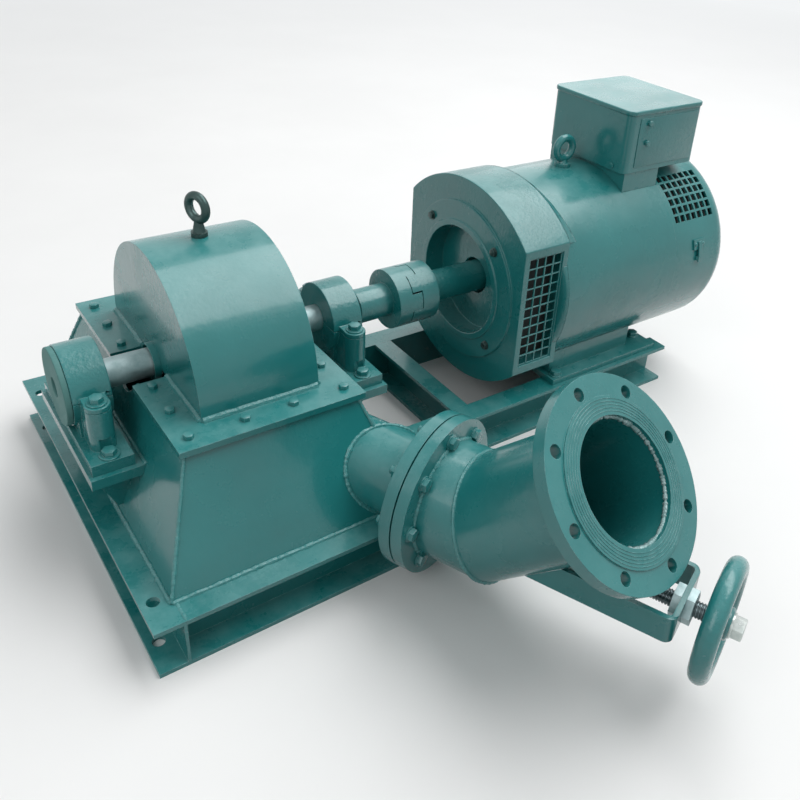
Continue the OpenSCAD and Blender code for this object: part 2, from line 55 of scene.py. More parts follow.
LOG = logging.getLogger("hydro_set")
MM = 0.001
SIDES = (-1, 1)
SHARP_DEG = 40.0
CAST_EDGE_DEG = 35.0
WELD_STEP = 2.4
Y_FOR_Z = Matrix(((1, 0, 0), (0, 0, 1), (0, 1, 0))).to_4x4()


class Body(str, Enum):
    """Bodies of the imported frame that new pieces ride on."""

    BASE = "base"
    WHEEL = "handwheel"


class Slot(str, Enum):
    """Material slots of the record."""

    ENAMEL = "enamel"
    CAST = "cast_enamel"
    STEEL = "bare_steel"
    DARK = "dark_steel"
    GASKET = "gasket"


class Graph:
    """A node tree of a material or the world, with short calls to add and link its nodes."""

    def __init__(self, name: str, kind: str = "materials") -> None:
        """Makes an empty material or world.

        Args:
            name: Its name.
            kind: Blender's collection that it goes into.
        """
        self.owner = getattr(bpy.data, kind).new(name)
        self.owner.use_nodes = True
        self.tree = self.owner.node_tree
        self.tree.nodes.clear()

    def add(self, kind: str, sockets: dict | None = None, **settings: object) -> bpy.types.Node:
        """Adds a node.

        Args:
            kind: Blender's name of the node type.
            sockets: Socket values or linked sockets, by socket name or identifier.
            settings: Node properties.

        Returns:
            The new node.
        """
        node = self.tree.nodes.new(kind)
        for key, value in settings.items():
            setattr(node, key, value)
        for key, value in (sockets or {}).items():
            socket = next(s for s in node.inputs if key in (s.identifier, s.name))
            if isinstance(value, Socket):
                self.tree.links.new(value, socket)
            else:
                socket.default_value = value
        return node

    def place(self) -> Socket:
        """Adds Object coordinates and returns them."""
        return self.add("ShaderNodeTexCoord").outputs["Object"]

    def noise(self, place: Socket, scale: float, detail: float, roughness: float = 0.55) -> Socket:
        """Adds a noise texture and returns its grey output."""
        sockets = {"Vector": place, "Scale": scale, "Detail": detail, "Roughness": roughness}
        return self.add("ShaderNodeTexNoise", sockets).outputs[0]

    def span(self, value: Socket, source: Pair, target: tuple[object, object] = (0.0, 1.0)) -> Socket:
        """Maps a range of a value to another range, clamped."""
        sockets = {"Value": value, "From Min": source[0], "From Max": source[1],
                   "To Min": target[0], "To Max": target[1]}
        return self.add("ShaderNodeMapRange", sockets).outputs[0]

    def maths(self, operation: str, first: object, second: object) -> Socket:
        """Adds a math node of two values and returns its output."""
        sockets = {"Value": first, "Value_001": second}
        return self.add("ShaderNodeMath", sockets, operation=operation).outputs[0]

    def mix(self, factor: object, first: object, second: object) -> Socket:
        """Mixes two colours and returns the colour output."""
        made = self.add("ShaderNodeMix", {"Factor_Float": factor, "A_Color": first, "B_Color": second},
                        data_type="RGBA")
        return next(s for s in made.outputs if s.identifier == "Result_Color")

    def rounded(self, radius: float) -> Socket:
        """Adds normals that are rounded at the edges and returns them."""
        return self.add("ShaderNodeBevel", {"Radius": radius}, samples=4).outputs[0]

    def bump(self, height: Socket, strength: float, depth: float, **normal: Socket) -> Socket:
        """Adds a bump from a height, upon the socket Normal where it is given, and returns its normals."""
        sockets = {"Height": height, "Strength": strength, "Distance": depth, **normal}
        return self.add("ShaderNodeBump", sockets).outputs[0]

    def looked_at(self) -> Socket:
        """Tells the rays that show the background from those that light the object.

        Returns:
            One for camera, glossy and transmission rays, nought for the rest.
        """
        path = self.add("ShaderNodeLightPath").outputs
        seen = self.maths("MAXIMUM", path["Is Camera Ray"], path["Is Glossy Ray"])
        return self.maths("MAXIMUM", seen, path["Is Transmission Ray"])

    def finish(self, shader: bpy.types.Node) -> Material | bpy.types.World:
        """Links the shader to the output.

        Args:
            shader: The last node.

        Returns:
            The material or world.
        """
        output = "World" if isinstance(self.owner, bpy.types.World) else "Material"
        self.add(f"ShaderNodeOutput{output}", {"Surface": shader.outputs[0]})
        return self.owner

    def painted(self, inputs: dict[str, object]) -> Material:
        """Ends a material with one shader of the given inputs and returns it."""
        return self.finish(self.add("ShaderNodeBsdfPrincipled", inputs))


def rgba(colour: Triple) -> tuple[float, float, float, float]:
    """Adds an alpha of one to a colour."""
    return (*colour, 1.0)


@dataclass(frozen=True)
class Mottle:
    """A noise pattern and the part of its range that is spread out."""

    scale: float
    detail: float
    part: Pair
    roughness: float = 0.55

    def lay(self, g: Graph, place: Socket, target: Pair = (0.0, 1.0)) -> Socket:
        """Adds the pattern to a graph, spread over a target range, and returns its output."""
        return g.span(g.noise(place, self.scale, self.detail, self.roughness), self.part, target)


@dataclass(frozen=True)
class Enamel:
    """Brushed-on glossy enamel with uneven tone, dust on top and lighter edges: wear and painted
    highlight.
    """

    name: str
    deep: Triple
    light: Triple
    gloss: Pair = (0.17, 0.34)
    grain: float = 55.0
    bump: float = 0.10
    coat: float = 0.35
    coat_roughness: float = 0.10
    depth: float = 0.004
    dust: Triple = (0.19, 0.40, 0.40)
    dust_slope: Pair = (0.55, 1.0)
    dust_share: float = 0.45
    dust_roughness: float = 0.35
    # Lighter paint on edges: partly wear, partly a painted highlight.
    edge: Triple = (0.24, 0.50, 0.50)
    edge_radius: float = 0.0016
    edge_bend: Pair = (0.97, 0.80)
    stroke_stretch: Triple = (6.0, 6.0, 1.0)
    stroke_scale: float = 30.0
    stroke_share: float = 0.5
    tone: Mottle = Mottle(4.0, 4.0, (0.35, 0.65))
    rubbing_and_highlight: Mottle = Mottle(60.0, 4.0, (0.42, 0.62))
    dusting: Mottle = Mottle(14.0, 6.0, (0.40, 0.75), 0.7)
    glossing: Mottle = Mottle(9.0, 5.0, (0.3, 0.7), 0.6)

    def build(self) -> Material:
        """Builds paint, lighter edges (wear and painted highlight), dust, gloss and brush strokes.

        Returns:
            The new material.
        """
        g = Graph(self.name)
        place = g.place()
        normal = g.add("ShaderNodeNewGeometry").outputs["Normal"]
        paint = g.mix(self.tone.lay(g, place), rgba(self.deep), rgba(self.light))
        soft = g.rounded(self.edge_radius)
        both = {"Vector": normal, "Vector_001": soft}
        bend = g.add("ShaderNodeVectorMath", both, operation="DOT_PRODUCT").outputs["Value"]
        # Edge mask: edges lightened partly for wear, partly as a painted highlight.
        rubbed_and_highlit = g.maths("MULTIPLY", g.span(bend, self.edge_bend), self.rubbing_and_highlight.lay(g, place))
        paint = g.mix(rubbed_and_highlit, paint, rgba(self.edge))
        slope = g.add("ShaderNodeSeparateXYZ", {"Vector": normal}).outputs["Z"]
        upward = g.span(slope, self.dust_slope, (0.0, self.dust_share))
        dusty = g.maths("MULTIPLY", upward, self.dusting.lay(g, place))
        paint = g.mix(dusty, paint, rgba(self.dust))
        gloss = self.glossing.lay(g, place, self.gloss)
        gloss = g.maths("ADD", gloss, g.maths("MULTIPLY", dusty, self.dust_roughness))
        brushed = g.add("ShaderNodeMapping", {"Vector": place, "Scale": self.stroke_stretch}).outputs[0]
        waves = g.noise(place, self.grain, detail=2.0)
        strokes = g.noise(brushed, self.stroke_scale, detail=3.0)
        height = g.maths("ADD", waves, g.maths("MULTIPLY", strokes, self.stroke_share))
        normal = g.bump(height, self.bump, self.depth, Normal=soft)
        return g.painted({"Base Color": paint, "Roughness": gloss, "Normal": normal,
                          "Coat Weight": self.coat, "Coat Roughness": self.coat_roughness})


@dataclass(frozen=True)
class Metal:
    """Bare or blackened steel with fine turning marks and stains."""

    name: str
    colour: Triple
    stain: Triple
    gloss: Pair
    metallic: float = 1.0
    marks: float = 900.0
    bump: float = 0.12
    depth: float = 0.0004
    edge_radius: float = 0.0008
    staining: Mottle = Mottle(28.0, 6.0, (0.45, 0.7), 0.65)
    glossing: Mottle = Mottle(45.0, 4.0, (0.3, 0.7))

    def build(self) -> Material:
        """Builds stains, gloss and turning marks.

        Returns:
            The new material.
        """
        g = Graph(self.name)
        place = g.place()
        colour = g.mix(self.staining.lay(g, place), rgba(self.colour), rgba(self.stain))
        gloss = self.glossing.lay(g, place, self.gloss)
        fine = g.noise(place, self.marks, detail=2.0)
        normal = g.bump(fine, self.bump, self.depth, Normal=g.rounded(self.edge_radius))
        return g.painted({"Base Color": colour, "Roughness": gloss, "Normal": normal,
                          "Metallic": self.metallic})


@dataclass(frozen=True)
class Matt:
    """A dull dark surface, such as sheet gasket or the near-black painted shade behind a grille."""

    name: str
    colour: Triple
    speck: Triple
    roughness: float = 0.85
    grain: float = 500.0
    bump: float = 0.2
    depth: float = 0.001
    specks: Mottle = Mottle(160.0, 4.0, (0.4, 0.7))

    def build(self) -> Material:
        """Builds specks and grain.

        Returns:
            The new material.
        """
        g = Graph(self.name)
        place = g.place()
        colour = g.mix(self.specks.lay(g, place), rgba(self.colour), rgba(self.speck))
        normal = g.bump(g.noise(place, self.grain, detail=3.0), self.bump, self.depth)
        return g.painted({"Base Color": colour, "Roughness": self.roughness, "Normal": normal})


class Palette:
    """Every finish of the set, made once."""

    def __init__(self) -> None:
        """Builds the materials."""
        self.enamel = Enamel("blue_green_enamel", (0.012, 0.170, 0.170), (0.019, 0.210, 0.210)).build()
        self.cast = Enamel("blue_green_on_castings", (0.012, 0.166, 0.166), (0.019, 0.204, 0.204),
                           grain=150.0, bump=0.22).build()
        self.weld = Enamel("blue_green_on_welds", (0.026, 0.200, 0.200), (0.062, 0.290, 0.288),
                           grain=420.0, bump=0.45).build()
        self.dull = Enamel("dull_enamel", (0.050, 0.170, 0.160), (0.085, 0.225, 0.212), (0.62, 0.78),
                           grain=150.0, bump=0.2, coat=0.0).build()
        self.steel = Metal("turned_steel", (0.44, 0.56, 0.57), (0.24, 0.37, 0.38), (0.34, 0.52),
                           metallic=0.55).build()
        self.dark = Metal("blackened_steel", (0.050, 0.084, 0.080), (0.10, 0.155, 0.148), (0.30, 0.5),
                          metallic=0.8).build()
        self.zinc = Metal("pale_zinc", (0.62, 0.66, 0.64), (0.40, 0.46, 0.44), (0.26, 0.46)).build()
        self.thread = Metal("oiled_thread", (0.15, 0.19, 0.20), (0.08, 0.10, 0.11), (0.26, 0.42)).build()
        self.bare_weld = Metal("whitish_weld", (0.31, 0.43, 0.43), (0.12, 0.24, 0.24), (0.4, 0.62),
                               metallic=0.35).build()
        self.gasket = Matt("black_sheet_gasket", (0.018, 0.018, 0.018), (0.035, 0.035, 0.034)).build()
        # Near-black material that paints the shade behind grilles and vents.
        self.shade = Matt("painted_shade_inside", (0.006, 0.010, 0.010), (0.012, 0.020, 0.020)).build()

    def dress_nodes(self) -> None:
        """Gives every CAD node the finish of its record slot."""
        by_slot = {Slot.ENAMEL: self.enamel, Slot.CAST: self.cast, Slot.STEEL: self.steel,
                   Slot.DARK: self.dark, Slot.GASKET: self.gasket}
        for part in frame["record"]["subparts"]:
            node = frame["nodes"][part["node"]]
            node.data.materials.clear()
            node.data.materials.append(by_slot[Slot(part["material_slot"])])


def upright(x: float, y: float, z: float) -> Matrix:
    """A place at a point, with its Z upwards."""
    return Matrix.Translation((x, y, z))


def facing(at: Sequence[float], axis: Sequence[float]) -> Matrix:
    """A place at a point, with its Z along an axis."""
    return Matrix.Translation(at) @ Vector(axis).to_track_quat("Z", "Y").to_matrix().to_4x4()


def standing_on(at: Sequence[float], x: Vector, y: Vector, z: Vector) -> Matrix:
    """A place at a point, with its three axes given."""
    return Matrix.Translation(at) @ Matrix((x, y, z)).transposed().to_4x4()


def round_section(radius: float, count: int) -> list[Pair]:
    """Points of a circle in its own plane."""
    turns = [2 * math.pi * k / count for k in range(count)]
    return [(radius * math.cos(a), radius * math.sin(a)) for a in turns]


def quarter(parts: int = 6) -> list[float]:
    """Angles of a quarter turn in equal parts."""
    return [math.pi / 2 * k / parts for k in range(parts + 1)]


def fan(reach: float, parts: int) -> list[float]:
    """Angles from minus to plus a reach in equal parts."""
    return [reach * (2 * k / parts - 1) for k in range(parts + 1)]


def chained(part: bmesh.types.BMesh, verts: list, closed: bool = True) -> list:
    """Joins vertices in a row by edges and returns the edges."""
    after = verts[1:] + (verts[:1] if closed else [])
    return [part.edges.new(pair) for pair in zip(verts, after)]


def round_off(bm: bmesh.types.BMesh, edges: list, width: float, segments: int = 3,
              clamp: bool = False) -> None:
    """Rounds edges off by a width."""
    bmesh.ops.bevel(bm, geom=edges, offset=width, offset_type="OFFSET", affect="EDGES", segments=segments,
                    profile=0.5, material=-1, clamp_overlap=clamp)


def into_scene(name: str, data: bpy.types.ID) -> bpy.types.Object:
    """Makes an object of its data and links it to the scene.

    Args:
        name: Name of the object.
        data: Its mesh, lamp or camera.

    Returns:
        The new object.
    """
    made = bpy.data.objects.new(name, data)
    bpy.context.scene.collection.objects.link(made)
    return made


@dataclass(frozen=True)
class Seam:
    """A weld bead: its radius in millimetres, the share by which it swells, and how its waves run."""

    radius: float
    ripple: float = 0.16
    beat: float = 1.9
    beat_share: float = 0.35
    fine: float = 0.21
    fine_share: float = 2.2
    coarse: float = 0.05
    wander: float = 0.15
    end_share: float = 0.5


class Blank:
    """A mesh in the making, in millimetres, that becomes one piece of the set."""

    def __init__(self) -> None:
        """Starts with nothing."""
        self.bm = bmesh.new()

    def take(self, part: bmesh.types.BMesh, place: Matrix) -> None:
        """Adds a finished shape at a place and frees it.

        Args:
            part: The shape, round its own origin.
            place: Where it goes.
        """
        bmesh.ops.remove_doubles(part, verts=part.verts, dist=1e-4)
        bmesh.ops.recalc_face_normals(part, faces=part.faces)
        part.transform(place)
        mesh = bpy.data.meshes.new("shape")
        part.to_mesh(mesh)
        part.free()
        self.bm.from_mesh(mesh)
        bpy.data.meshes.remove(mesh)

    def turned(self, profile: Profile, place: Matrix, steps: int) -> None:
        """Adds a shape spun from a profile about its own Z.

        Args:
            profile: Points of radius and height; a repeated first point closes a ring.
            place: Where the shape goes.
            steps: Faces round the turn.
        """
        part = bmesh.new()
        ring = profile[0] == profile[-1]
        points = profile[:-1] if ring else profile
        verts = [part.verts.new((radius, 0.0, height)) for radius, height in points]
        bmesh.ops.spin(part, geom=verts + chained(part, verts, ring), cent=(0, 0, 0), axis=(0, 0, 1),
                       angle=2 * math.pi, steps=steps, use_merge=True)
        self.take(part, place)

    def hexagon(self, place: Matrix, radius: float, height: float, rounding: float = 1.4) -> None:
        """Adds a hexagon head with its top edge rounded off.

        Args:
            place: Middle of the underside, Z outwards.
            radius: Half the width over corners.
            height: Height of the head.
            rounding: Width of the rounded edge.
        """
        part = bmesh.new()
        bmesh.ops.create_cone(part, cap_ends=True, segments=6, radius1=radius, radius2=radius,
                              depth=height, matrix=upright(0, 0, height / 2))
        top = [e for e in part.edges if all(v.co.z > height / 2 for v in e.verts)]
        round_off(part, top, rounding, segments=2)
        self.take(part, place)

    def slab(self, low: Triple, high: Triple, rounding: float) -> None:
        """Adds a block with rounded edges.

        Args:
            low: Lowest corner.
            high: Highest corner.
            rounding: Width of the rounded edges.
        """
        part = bmesh.new()
        bmesh.ops.create_cube(part, size=1.0)
        bmesh.ops.scale(part, vec=Vector(high) - Vector(low), verts=part.verts)
        round_off(part, part.edges[:], rounding)
        self.take(part, Matrix.Translation((Vector(low) + Vector(high)) / 2))

    def swept(self, section: Profile, places: Sequence[Matrix], closed: bool = False) -> None:
        """Adds a section carried through a row of places.

        Args:
            section: Points of the section in its own plane.
            places: Where the section stands, one after the other.
            closed: Whether the last place joins the first.
        """
        part = bmesh.new()
        verts = [part.verts.new((x, y, 0.0)) for x, y in section]
        first = edges = chained(part, verts)
        bmesh.ops.transform(part, matrix=places[0], verts=verts)
        for old, new in zip(places, places[1:]):
            made = bmesh.ops.extrude_edge_only(part, edges=edges)["geom"]
            verts = [item for item in made if isinstance(item, bmesh.types.BMVert)]
            rows = [item for item in made if isinstance(item, bmesh.types.BMEdge)]
            edges = [edge for edge in rows if set(verts).issuperset(edge.verts)]
            bmesh.ops.transform(part, matrix=new @ old.inverted(), verts=verts)
        if closed:
            bmesh.ops.bridge_loops(part, edges=first + edges)
        else:
            bmesh.ops.holes_fill(part, edges=part.edges[:], sides=0)
        self.take(part, Matrix.Identity(4))

    def bead(self, path: Sequence[Vector], seam: Seam, closed: bool = False) -> None:
        """Adds a weld bead with the ripple that a hand-held rod leaves.

        Args:
            path: Points along the root of the joint.
            seam: Size and ripple of the bead.
            closed: Whether the path is a loop.
        """
        places = []
        end = len(path) - 1
        turn = ahead = None
        for k, point in enumerate(path):
            after = path[(k + 1) % len(path)] if closed else path[min(k + 1, end)]
            before = path[k - 1] if closed else path[max(k - 1, 0)]
            along = (after - before).normalized()
            turn = ahead.rotation_difference(along) @ turn if ahead else along.to_track_quat("Z", "Y")
            ahead = along
            wave = seam.beat_share * math.sin(k * seam.beat) + noise.noise(point * seam.coarse)
            wave += seam.fine_share * noise.noise(point * seam.fine)
            radius = seam.radius * (1 + seam.ripple * wave)
            if not closed and k in (0, end):
                radius *= seam.end_share
            drift = Vector([noise.noise(p * seam.coarse) for p in (point, point.yzx, point.zxy)])
            at = Matrix.Translation(point + seam.wander * seam.radius * drift)
            places.append(at @ turn.to_matrix().to_4x4() @ Matrix.Scale(radius, 4))
        self.swept(round_section(1.0, 8), places, closed)

    def run(self, start: Triple, end: Triple, seam: Seam) -> None:
        """Adds a straight bead from one point to another."""
        count = round(math.dist(start, end) / WELD_STEP)
        self.bead([Vector(start).lerp(Vector(end), k / count) for k in range(count + 1)], seam)

    def hoop(self, place: Matrix, radius: float, seam: Seam, step: float = WELD_STEP) -> None:
        """Adds a bead round a circle in a place's XY plane."""
        section = round_section(radius, round(2 * math.pi * radius / step))
        self.bead([place @ Vector((*spot, 0.0)) for spot in section], seam, closed=True)

    def piece(self, name: str, material: Material, slot: Slot, body: Body = Body.BASE,
              replaced: Sequence[str] = ()) -> bpy.types.Object:
        """Turns the mesh into a piece of the set.

        Args:
            name: Name of the piece.
            material: Its finish.
            slot: The record's slot that the finish belongs to; not used.
            body: The body that it rides on.
            replaced: CAD nodes that it stands for.

        Returns:
            The new object.
        """
        bmesh.ops.scale(self.bm, vec=(MM, MM, MM), verts=self.bm.verts)
        mesh = bpy.data.meshes.new(name)
        self.bm.to_mesh(mesh)
        self.bm.free()
        mesh.shade_smooth()
        mesh.set_sharp_from_angle(angle=math.radians(SHARP_DEG))
        mesh.materials.append(material)
        made = into_scene(name, mesh)
        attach(made, body.value)
        if replaced:
            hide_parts(*replaced)
        LOG.info("%s: %d faces on %s", name, len(mesh.polygons), body.value)
        return made


@dataclass(frozen=True)
class HexBolt:
    """A hexagon head or nut on a washer whose rim is worn inwards and down."""

    washer_r: float
    washer_t: float
    worn: Pair
    head_r: float
    head_h: float
    rounding: float = 1.4
    steps: int = 28

    def put(self, blank: Blank, place: Matrix) -> None:
        """Adds washer and head to a mesh.

        Args:
            blank: The mesh.
            place: Middle of the washer's underside, Z outwards.
        """
        radius, top = self.washer_r, self.washer_t
        rim = [(radius, top - self.worn[1]), (radius - self.worn[0], top)]
        blank.turned([(0, 0), (radius, 0), *rim, (0, top)], place, self.steps)
        blank.hexagon(place @ upright(0, 0, top), self.head_r, self.head_h, self.rounding)


def node_copy(node: str) -> Blank:
    """Copies a CAD node's mesh, merged and with whole flat faces.

    Args:
        node: The CAD node.

    Returns:
        The copy in millimetres.
    """
    blank = Blank()
    bm = blank.bm
    bm.from_mesh(frame["nodes"][node].data)
    bmesh.ops.scale(bm, vec=(1 / MM, 1 / MM, 1 / MM), verts=bm.verts)
    bmesh.ops.remove_doubles(bm, verts=bm.verts, dist=0.005)
    bmesh.ops.dissolve_limit(bm, angle_limit=math.radians(1.0), verts=bm.verts, edges=bm.edges)
    return blank


def softened(node: str, name: str, material: Material, slot: Slot, width: float) -> None:
    """Replaces a CAD node by a copy whose sharp edges are rounded as a casting's are.

    Args:
        node: The CAD node.
        name: Name of the new piece.
        material: Its finish.
        slot: The record's slot that the finish belongs to.
        width: Width of the rounding in millimetres.
    """
    blank = node_copy(node)
    joined = [e for e in blank.bm.edges if len(e.link_faces) == 2]
    sharp = [e for e in joined if e.calc_face_angle() > math.radians(CAST_EDGE_DEG)]
    round_off(blank.bm, sharp, width, clamp=True)
    made = blank.piece(name, material, slot, Body.BASE, (node,))
    made.modifiers.new("even_shading", "WEIGHTED_NORMAL").keep_sharp = True


@dataclass
class BaseFrame:
    """Welded channels under the set, with their seams."""

    palette: Palette
    top_z: float = 100.0
    half_x: float = 281.0
    half_y: float = 414.0
    flange: float = 53.0
    rail_y: float = 215.0
    rail_gap: float = 0.5
    rail_z: Pair = (6.0, 99.0)
    seam: Seam = Seam(3.6)
    seam_sunk: float = 0.45

    def build(self) -> None:
        """Adds the seams of three corners and of the rails; the notched corner has none."""
        seams = Blank()
        z = self.top_z - self.seam.radius * self.seam_sunk
        inner_x = self.half_x - self.flange
        outer_y, inner_y = self.half_y - self.seam.radius, self.half_y - self.flange
        for x, side in ((-inner_x, -1), (-inner_x, 1), (inner_x, 1)):
            seams.run((x, side * outer_y, z), (x, side * inner_y, z), self.seam)
        x = self.half_x + self.rail_gap
        low, high = self.rail_z
        for side in SIDES:
            y, inner_y = side * self.rail_y, side * (self.rail_y - self.flange)
            seams.run((self.half_x, y, z), (self.half_x, inner_y, z), self.seam)
            seams.run((x, y, high), (x, y, low), self.seam)
        seams.piece("frame_seams", self.palette.weld, Slot.ENAMEL)


@dataclass
class TurbineCase:
    """Case, plate and hood: bolts round the plate and the welds that join the sheets."""

    palette: Palette
    shaft_z: float = 325.0
    foot_z: float = 100.0
    wall_top_z: float = 313.0
    top: Pair = (160.0, 276.0)
    bottom: Pair = (236.0, 368.0)
    hood_r: float = 224.0
    hood_x: float = 110.0
    notch_y: float = 62.0
    shelf_z: float = 225.0
    shelf_y: float = 160.0
    bolt_r: float = 9.2
    bolt_h: float = 8.0
    bolt_x: float = 144.0
    bolt_rows: Triple = (85.0, 170.0, 255.0)
    bolt_turn: float = 37.0
    end_bolt_x: float = 45.0
    fillet: Seam = Seam(7.0, 0.05)
    foot_seam: Seam = Seam(5.0)
    corner_seam: Seam = Seam(3.4)
    shelf_seam: Seam = Seam(4.0)

    def wall_x(self, z: float) -> float:
        """Half width of the sloping case at a height."""
        share = (self.wall_top_z - z) / (self.wall_top_z - self.foot_z)
        return self.top[0] + (self.bottom[0] - self.top[0]) * share

    def bolts(self) -> None:
        """Adds the painted bolts of the plate, each head at its own angle."""
        heads = Blank()
        spots = [(x * self.bolt_x, y * row) for x in SIDES for y in SIDES for row in self.bolt_rows]
        spots += [(x * self.end_bolt_x, y * self.bolt_rows[-1]) for x in SIDES for y in SIDES]
        for k, (x, y) in enumerate(spots):
            turn = Matrix.Rotation(math.radians(self.bolt_turn * k), 4, "Z")
            heads.hexagon(upright(x, y, self.shaft_z) @ turn, self.bolt_r, self.bolt_h)
        heads.piece("plate_bolts", self.palette.enamel, Slot.ENAMEL)

    def hood_welds(self) -> None:
        """Adds the fillet round the hood's foot."""
        fillet = Blank()
        z = self.shaft_z
        for side in SIDES:
            y, notch_y = side * self.hood_r, side * self.notch_y
            fillet.run((-self.hood_x, y, z), (self.hood_x, y, z), self.fillet)
            for x in (-self.hood_x, self.hood_x):
                fillet.run((x, y, z), (x, notch_y, z), self.fillet)
        fillet.piece("hood_fillet", self.palette.weld, Slot.ENAMEL)

    def case_welds(self) -> None:
        """Adds the beads of the case's foot, corners and shelves."""
        seams = Blank()
        (bx, by), (tx, ty) = self.bottom, self.top
        corners = [(-bx, -by), (bx, -by), (bx, by), (-bx, by)]
        for start, end in zip(corners, corners[1:] + corners[:1]):
            seams.run((*start, self.foot_z), (*end, self.foot_z), self.foot_seam)
        for x in SIDES:
            for y in SIDES:
                foot, top = (x * bx, y * by, self.foot_z), (x * tx, y * ty, self.wall_top_z)
                seams.run(foot, top, self.corner_seam)
            front, back = ((x * self.wall_x(self.shelf_z), y * self.shelf_y, self.shelf_z) for y in SIDES)
            seams.run(front, back, self.shelf_seam)
        seams.piece("case_seams", self.palette.weld, Slot.ENAMEL)

    def build(self) -> None:
        """Adds bolts and welds."""
        self.bolts()
        self.hood_welds()
        self.case_welds()


@dataclass
class Bearings:
    """Two split pillow blocks: rounded castings and the bolts that hold them."""

    palette: Palette
    mid_x: Pair = (-242.0, 258.0)
    cap_bolt: Pair = (98.0, 335.0)
    foot_bolt: Pair = (132.0, 247.0)
    bolt: HexBolt = HexBolt(17.4, 3.0, (0.8, 0.8), 12.8, 10.0, 1.8)
    bolt_turn: float = 11.0
    cast_edge: float = 3.0
    cover_edge: float = 2.0

    def build(self) -> None:
        """Rounds the castings and adds the bolts."""
        for side in ("left", "right"):
            for half in ("base", "cap"):
                node = f"bearing_{side}_{half}"
                softened(node, f"{node}_casting", self.palette.cast, Slot.CAST, self.cast_edge)
        softened("bearing_left_cover", "bearing_left_cover_plate", self.palette.dull, Slot.CAST,
                 self.cover_edge)
        heads = Blank()
        for x in self.mid_x:
            for side in SIDES:
                for y, z in (self.cap_bolt, self.foot_bolt):
                    turn = Matrix.Rotation(math.radians(self.bolt_turn * y), 4, "Z")
                    self.bolt.put(heads, upright(x, side * y, z) @ turn)
        heads.piece("bearing_bolts", self.palette.cast, Slot.CAST)


@dataclass(frozen=True)
class Strip:
    """A bent strip on the rear cover, its ends in degrees counted up from the front."""

    width: float
    thick: float
    start: float
    end: float
    lift: float = -0.4


